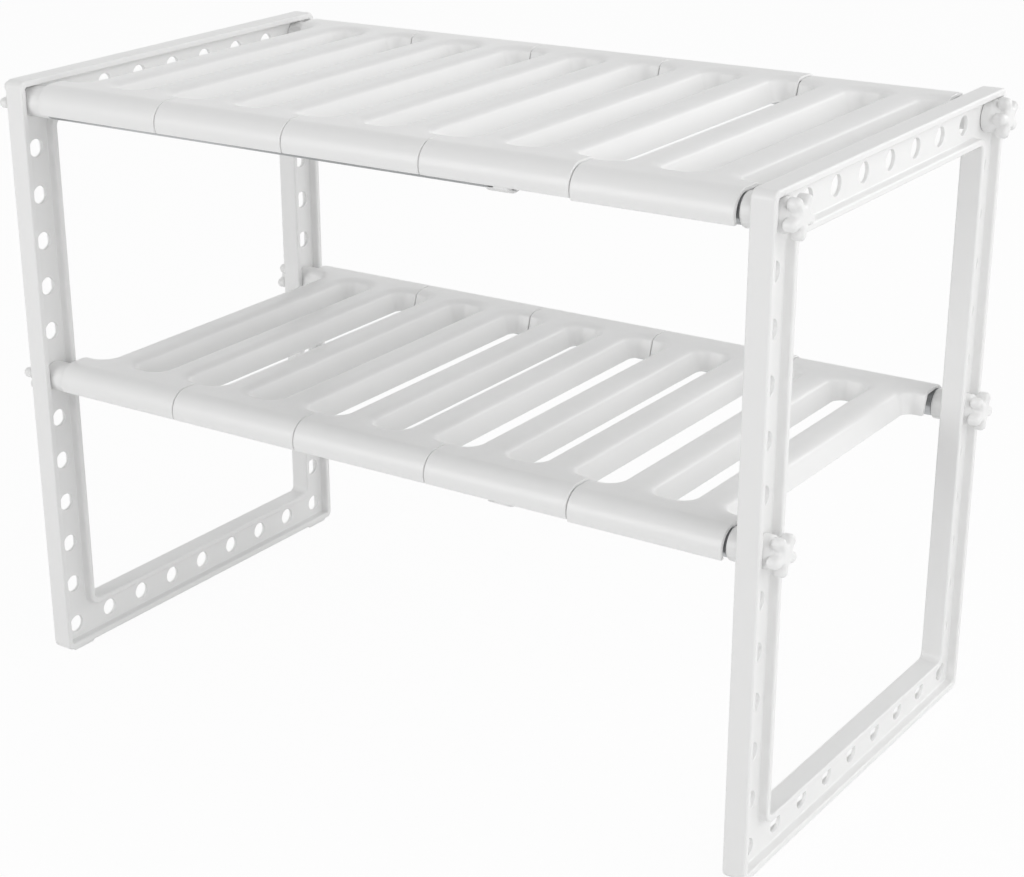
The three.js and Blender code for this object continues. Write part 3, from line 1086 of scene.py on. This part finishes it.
@dataclass
class Telescopes(SubAssembly):
    """The telescoping tubes under both tiers, each with a ferrule at the outer tube's end."""

    outer_start: float = -236.35
    outer_end: float = 94.65
    inner_start: float = -110.65
    inner_end: float = 241.35
    outer_radius: float = 9.5
    inner_radius: float = 8.3
    wall: float = 0.9
    edge: float = 0.25
    sides: int = 56
    nose: float = 10.0
    nose_round: float = 1.6
    seat: float = 0.3
    soft: float = 0.35
    keel: float = 1.2
    keel_sides: Point = (46.0, 54.0)
    tongue: float = 5.0
    tongue_sides: Point = (38.0, 45.0)
    hem: float = 0.05
    nose_room: float = 1.5
    nose_steps: int = 5
    coarse_step: int = 6
    fine_zone: tuple[int, int] = (36, 56)
    fine_step: float = 0.7
    fine_count: int = 27

    def tube_mesh(self, name: str, radius: float, length: float) -> Mesh:
        """Builds a tube along X from 0.

        Args:
            name: Name of the mesh.
            radius: Outer radius.
            length: Length.

        Returns:
            The tube's mesh.
        """
        edge, bore = self.edge, radius - self.wall
        section = [
            (bore + edge, 0.0),
            (radius - edge, 0.0),
            (radius, edge),
            (radius, length - edge),
            (radius - edge, length),
            (bore + edge, length),
            (bore, length - edge),
            (bore, edge),
        ]
        return turned_mesh(name, section, self.sides)

    def ferrule_section(self, angle: float) -> list[Point]:
        """Draws the ferrule's section at an angle from straight down.

        Args:
            angle: Angle in degrees, from 0 to 180.

        Returns:
            Points as (radius, x) from the tube's end at 0.
        """
        bore, soft = self.outer_radius - self.wall, self.soft
        out = self.outer_radius + self.keel * (1.0 - smooth_step(angle, *self.keel_sides))
        reach = 1.0 - smooth_step(angle, *self.tongue_sides)
        back = self.seat - (self.tongue + self.seat) * reach
        under = self.outer_radius + self.seat if reach > 0.0 else (bore + out) / 2
        end = self.nose + self.seat
        tip = min(self.nose_round, out - bore - self.nose_room * soft)
        return (
            [(bore, self.seat + soft), (bore, end - soft), (bore + soft, end)]
            + arc_points((out - tip, end - tip), tip, 90, 0, self.nose_steps)
            + [(out, back + soft), (out - soft, back), (under + self.hem, back)]
            + [(under, min(back + soft, self.seat)), (under, self.seat), (bore + soft, self.seat)]
        )

    def ferrule_stations(self) -> list[float]:
        """Spreads angles round the ferrule from straight down, closer together at the tongue's sides.

        Returns:
            Angles in degrees from 0 up to less than 360.
        """
        start, stop = self.fine_zone
        half = [float(angle) for angle in range(0, start, self.coarse_step)]
        half += [start + self.fine_step * step for step in range(self.fine_count)]
        half += [float(angle) for angle in range(stop, 180, self.coarse_step)]
        return half + [180.0] + [360.0 - angle for angle in reversed(half[1:])]

    def ferrule_mesh(self) -> Mesh:
        """Builds the ring that ends the outer tube, with a tongue under the tube.

        Returns:
            The ferrule's mesh.
        """
        stations = self.ferrule_stations()
        sketch = MeshSketch()
        sections = [self.ferrule_section(min(a, 360.0 - a)) for a in stations]
        turns = [math.radians(a - 90.0) for a in stations]
        rows = [
            sketch.around((x, radius, turn) for (radius, x), turn in zip(points, turns))
            for points in zip(*sections)
        ]
        sketch.skin(rows, closed=True, ring=True)
        sketch.weld()
        return sketch.finished("tube_ferrule_moulding")

    def build(self) -> Pieces:
        """Places the tubes and ferrules of both tiers.

        Returns:
            The pieces by material slot.
        """
        outer = self.tube_mesh("outer_tube_steel", self.outer_radius, self.outer_end - self.outer_start)
        inner = self.tube_mesh("inner_tube_steel", self.inner_radius, self.inner_end - self.inner_start)
        ferrule = self.ferrule_mesh()
        pieces: Pieces = {Slot.TUBE: [], Slot.FITTING: []}
        for label, y, z in tube_places():
            for slot, kind, mesh, side, x in (
                (Slot.TUBE, "outer_tube", outer, Side.LEFT, self.outer_start),
                (Slot.TUBE, "inner_tube", inner, Side.RIGHT, self.inner_start),
                (Slot.FITTING, "tube_ferrule", ferrule, Side.LEFT, self.outer_end),
            ):
                node = f"{label}_{kind}"
                pieces[slot].append(add_piece(f"{node}_dressed", mesh, node, side.body, (x, y, z)))
        return pieces


@dataclass
class Clamps(SubAssembly):
    """The clamps at the tube ends: a collared plug inside each frame and a star knob outside it."""

    web_plane: float = WEB_PLANE
    seat: float = 1.5
    collar_radius: float = 9.5
    collar_round: float = 1.2
    left_collar_start: float = -20.4
    right_collar_start: float = -15.4
    left_spigot: float = 8.3
    right_spigot: float = 7.1
    spigot_length: float = 18.0
    stem_radius: float = 4.0
    stem_gap: float = 0.3
    stem_tip: float = -19.5
    hub_radius: float = 9.5
    hub_neck: float = 7.0
    hub_shoulder: float = 6.5
    hub_front: float = 11.2
    star_back: float = 9.0
    star_front: float = 16.7
    back_round: float = 2.0
    front_round: float = 2.8
    lobes: int = 5
    lobe_radius: float = 3.3
    lobe_ring: float = 8.9
    valley_radius: float = 2.2
    chamfer: float = 1.0
    plug_edge: float = 0.4
    hub_edge: float = 0.6
    edge_steps: int = 3
    round_steps: int = 5
    front_steps: int = 8
    samples: int = 34
    tip_crowding: float = 0.55
    sides: int = 56
    turns: tuple[float, ...] = (10.0, 47.0, 52.0, 58.0, 63.0, 53.0, 41.0, 34.0)

    def plug_mesh(self, name: str, spigot: float, start: float) -> Mesh:
        """Builds a plug about the web's mid-plane, with +X outwards.

        Args:
            name: Name of the mesh.
            spigot: Radius of the spigot in the tube.
            start: Where the collar starts.

        Returns:
            The plug's mesh.
        """
        bore, edge, slope = self.stem_radius + self.stem_gap, self.plug_edge, self.chamfer
        tail = start - self.spigot_length
        radius, soft = self.collar_radius, self.collar_round
        section = [(bore, tail + edge), (bore + edge, tail), (spigot - slope, tail), (spigot, tail + slope)]
        section += [(spigot, start - edge), (spigot + edge, start)]
        section += arc_points((radius - soft, start + soft), soft, -90, 0, self.round_steps)
        section += arc_points((radius - edge, -self.seat - edge), edge, 0, 90, self.edge_steps)
        section += [(bore + edge, -self.seat), (bore, -self.seat - edge)]
        return turned_mesh(name, section, self.sides)

    def star_radius(self, angle: float, inset: float) -> float:
        """Radius of the star's outline, moved inwards, at an angle from a lobe's middle.

        Args:
            angle: Angle in radians, up to half of a lobe's share of the circle.
            inset: How far the outline is moved inwards.

        Returns:
            Radius from the knob's axis.
        """
        half = math.pi / self.lobes
        lobe, valley = self.lobe_radius - inset, self.valley_radius + inset
        across = self.lobe_ring * math.sin(half)
        reach = math.sqrt((self.lobe_radius + self.valley_radius) ** 2 - across**2)
        ring = self.lobe_ring * math.cos(half) + reach
        lean = math.atan2(ring * math.sin(half), ring * math.cos(half) - self.lobe_ring)
        meet = math.atan2(lobe * math.sin(lean), self.lobe_ring + lobe * math.cos(lean))
        angle = abs(angle)
        if angle <= meet:
            offset = self.lobe_ring * math.sin(angle)
            return self.lobe_ring * math.cos(angle) + math.sqrt(max(0.0, lobe**2 - offset**2))
        offset = ring * math.sin(half - angle)
        return ring * math.cos(half - angle) - math.sqrt(max(0.0, valley**2 - offset**2))

    def knob_angles(self, turn: float) -> list[Point]:
        """Spreads points round the knob, closer together at the lobes' tips.

        Args:
            turn: Turn of the knob in degrees.

        Returns:
            Pairs of the angle round the knob and the angle from the nearest lobe's middle.
        """
        half = math.pi / self.lobes
        angles: list[Point] = []
        for lobe in range(self.lobes):
            for sample in range(self.samples):
                share = 2.0 * sample / self.samples - 1.0
                off = half * share * (1.0 - self.tip_crowding * (1.0 - share * share))
                angles.append((math.radians(turn) + 2 * half * lobe + off, off))
        return angles

    def hub_profile(self, x: float) -> float:
        """Radius of the hub, which narrows from its shoulder to a neck in the star."""
        share = (x - self.hub_shoulder) / (self.hub_front - self.hub_shoulder)
        return self.hub_radius + (self.hub_neck - self.hub_radius) * min(1.0, max(0.0, share))

    def knob_mesh(self, name: str, turn: float) -> Mesh:
        """Builds a star knob about the web's mid-plane, with +X outwards.

        Args:
            name: Name of the mesh.
            turn: Turn of the knob in degrees.

        Returns:
            The knob's mesh: stem, hub and star in one closed skin.
        """
        sketch = MeshSketch()
        angles = self.knob_angles(turn)
        edge, shoulder = self.hub_edge, self.hub_shoulder
        stem, tip = self.stem_radius, self.stem_tip
        shaft = [(stem - self.chamfer, tip), (stem, tip + self.chamfer), (stem, self.seat)]
        shaft += arc_points((self.hub_radius - edge, self.seat + edge), edge, -90, 0, self.edge_steps)
        shaft += [(self.hub_profile(x), x) for x in (shoulder, shoulder + edge, self.star_back)]
        rows = [sketch.around((x, radius, a) for a, _ in angles) for radius, x in shaft]
        soft = self.back_round
        back = arc_points((soft, self.star_back + soft), soft, 270, 180, self.round_steps)
        shapes = [(inset, x, self.hub_profile(x)) for inset, x in back]
        shapes += [(0.0, self.hub_front, self.hub_neck), (0.0, self.hub_front + edge, 0.0)]
        soft = self.front_round
        front = arc_points((soft, self.star_front - soft), soft, 180, 90, self.front_steps)
        shapes += [(inset, x, 0.0) for inset, x in front]
        for inset, x, least in shapes:
            star = ((x, max(least, self.star_radius(off, inset)), a) for a, off in angles)
            rows.append(sketch.around(star))
        sketch.skin(rows, closed=True)
        sketch.fill(rows[0])
        sketch.fill(rows[-1])
        sketch.weld()
        return sketch.finished(name)

    def build(self) -> Pieces:
        """Places the plugs and knobs at all tube ends.

        Returns:
            The pieces by material slot.
        """
        plugs = {
            Side.LEFT: self.plug_mesh("left_plug_moulding", self.left_spigot, self.left_collar_start),
            Side.RIGHT: self.plug_mesh("right_plug_moulding", self.right_spigot, self.right_collar_start),
        }
        pieces: Pieces = {Slot.FITTING: [], Slot.KNOB: []}
        turns = iter(self.turns)
        for tube, y, z in tube_places():
            for side in Side:
                label = f"{tube}_{side.label}"
                place, facing = (side.sign * self.web_plane, y, z), (0.0, 0.0, side.turn)
                name, node = f"{label}_plug_moulding", f"{label}_end_plug"
                plug = add_piece(name, plugs[side], node, side.body, place, facing)
                pieces[Slot.FITTING].append(plug)
                name, node = f"{label}_knob_moulding", f"{label}_star_knob"
                star = self.knob_mesh(name, next(turns))
                pieces[Slot.KNOB].append(add_piece(name, star, node, f"{label}_knob", place, facing))
        return pieces


@dataclass(frozen=True)
class SoftLamp:
    """A square soft box that looks at the shelf's middle."""

    name: str
    place: Place
    size: float
    power: float

    def build(self, target: Vector) -> None:
        """Adds the lamp.

        Args:
            target: Place that the lamp is turned to.
        """
        lamp = bpy.data.lights.new(self.name, "AREA")
        lamp.size = self.size
        lamp.energy = self.power
        holder = add_object(self.name, lamp)
        holder.location = self.place
        holder.rotation_euler = (target - Vector(self.place)).to_track_quat("-Z", "Y").to_euler()


@dataclass
class Studio:
    """White floor and surroundings, soft lamps and the camera."""

    floor_half: float = 6.0
    floor_level: float = -0.0004
    floor_colour: Colour = (0.93, 0.93, 0.93)
    floor_roughness: float = 0.9
    floor_glow: float = 0.95
    ambient: float = 0.43
    target: Place = (0.0, 0.0, 0.2)
    lamps: tuple[SoftLamp, ...] = (
        SoftLamp("right_softbox", (4.3, 0.3, 1.5), 2.8, 29.0),
        SoftLamp("high_right_softbox", (1.7, 0.2, 1.7), 1.4, 7.0),
        SoftLamp("right_front_softbox", (1.95, -1.35, 1.08), 1.6, 8.0),
        SoftLamp("left_front_softbox", (-1.05, -2.25, 0.82), 1.2, 16.0),
        SoftLamp("right_rear_softbox", (1.4, 2.3, 1.1), 1.6, 13.0),
        SoftLamp("left_rear_softbox", (-1.74, 1.46, 1.26), 1.6, 2.0),
    )
    azimuth: float = 36.837
    elevation: float = 22.335
    roll: float = -1.25
    eye: Place = (727.104, -1067.852, 652.411)
    focal: float = 2162.43
    centre: Point = (402.146, 500.786)
    sensor: float = 36.0

    def seen_directly(self, tree: NodeTree) -> NodeSocket:
        """Finds the rays that show the surroundings themselves: camera, glossy and transmission rays.

        Args:
            tree: Node tree that gets the nodes.

        Returns:
            Socket that is 1 for these rays and 0 for others.
        """
        path = add_node(tree, "ShaderNodeLightPath").outputs
        first = add_math(tree, "MAXIMUM", path["Is Camera Ray"], path["Is Glossy Ray"])
        return add_math(tree, "MAXIMUM", first, path["Is Transmission Ray"])

    def build_world(self) -> None:
        """Makes the surroundings white to the eye and a plain soft light otherwise."""
        world = bpy.data.worlds.new("studio_surroundings")
        world.use_nodes = True
        tree = world.node_tree
        tree.nodes.clear()
        plain = opaque((1.0, 1.0, 1.0))
        soft = add_node(tree, "ShaderNodeBackground", {"Color": plain, "Strength": self.ambient})
        white = add_node(tree, "ShaderNodeBackground", {"Color": plain, "Strength": 1.0})
        shaders = {0: self.seen_directly(tree), 1: soft.outputs[0], 2: white.outputs[0]}
        mix = add_node(tree, "ShaderNodeMixShader", shaders)
        add_node(tree, "ShaderNodeOutputWorld", {"Surface": mix.outputs[0]})
        bpy.context.scene.world = world

    def build_floor(self) -> None:
        """Lays the pale floor, which nearly reaches white and still takes the shelf's shadow."""
        half = self.floor_half
        mesh = bpy.data.meshes.new("studio_floor")
        corners = [(-half, -half, 0.0), (half, -half, 0.0), (half, half, 0.0), (-half, half, 0.0)]
        mesh.from_pydata(corners, [], [(0, 1, 2, 3)])
        floor = add_object("studio_floor", mesh)
        floor.location.z = self.floor_level
        tree, shader = start_material("floor_white")
        shader.inputs["Base Color"].default_value = opaque(self.floor_colour)
        shader.inputs["Roughness"].default_value = self.floor_roughness
        glow = add_node(tree, "ShaderNodeEmission", {"Strength": 1.0})
        share = add_math(tree, "MULTIPLY", self.seen_directly(tree), self.floor_glow)
        mix = add_node(tree, "ShaderNodeMixShader", {0: share, 1: shader.outputs[0], 2: glow.outputs[0]})
        tree.links.new(mix.outputs[0], tree.nodes["Material Output"].inputs["Surface"])
        mesh.materials.append(bpy.data.materials["floor_white"])

    def build_camera(self) -> None:
        """Sets the camera where the photograph was taken from."""
        a, e, r = (math.radians(v) for v in (self.azimuth, self.elevation, self.roll))
        back = Vector((math.sin(a) * math.cos(e), -math.cos(a) * math.cos(e), math.sin(e)))
        level = Vector((0.0, 0.0, 1.0)).cross(back).normalized()
        upright = back.cross(level)
        right = level * math.cos(r) + upright * math.sin(r)
        up = upright * math.cos(r) - level * math.sin(r)
        width, height = PHOTO_SIZE
        data = bpy.data.cameras.new("photo_camera")
        data.sensor_width = self.sensor
        data.lens = self.focal * self.sensor / width
        data.shift_x = (width / 2 - self.centre[0]) / width
        data.shift_y = (self.centre[1] - height / 2) / width
        camera = add_object("photo_camera", data)
        turn = Matrix((right, up, back)).transposed().to_4x4()
        camera.matrix_world = Matrix.Translation(Vector(self.eye) * MM) @ turn
        bpy.context.scene.camera = camera

    def build(self) -> None:
        """Sets up the whole studio."""
        self.build_world()
        self.build_floor()
        for lamp in self.lamps:
            lamp.build(Vector(self.target))
        self.build_camera()
        bpy.context.scene.view_settings.view_transform = "Standard"


def main() -> None:
    """Builds and dresses the sub-assemblies in order, then the studio."""
    logging.basicConfig(level=logging.INFO, format="%(message)s")
    finishes = FinishBook()
    for assembly in (SideFrames(), ShelfPanels(), Telescopes(), Clamps()):
        assembly.dress(assembly.build(), finishes)
    Studio().build()


if __name__ == "__main__":
    main()
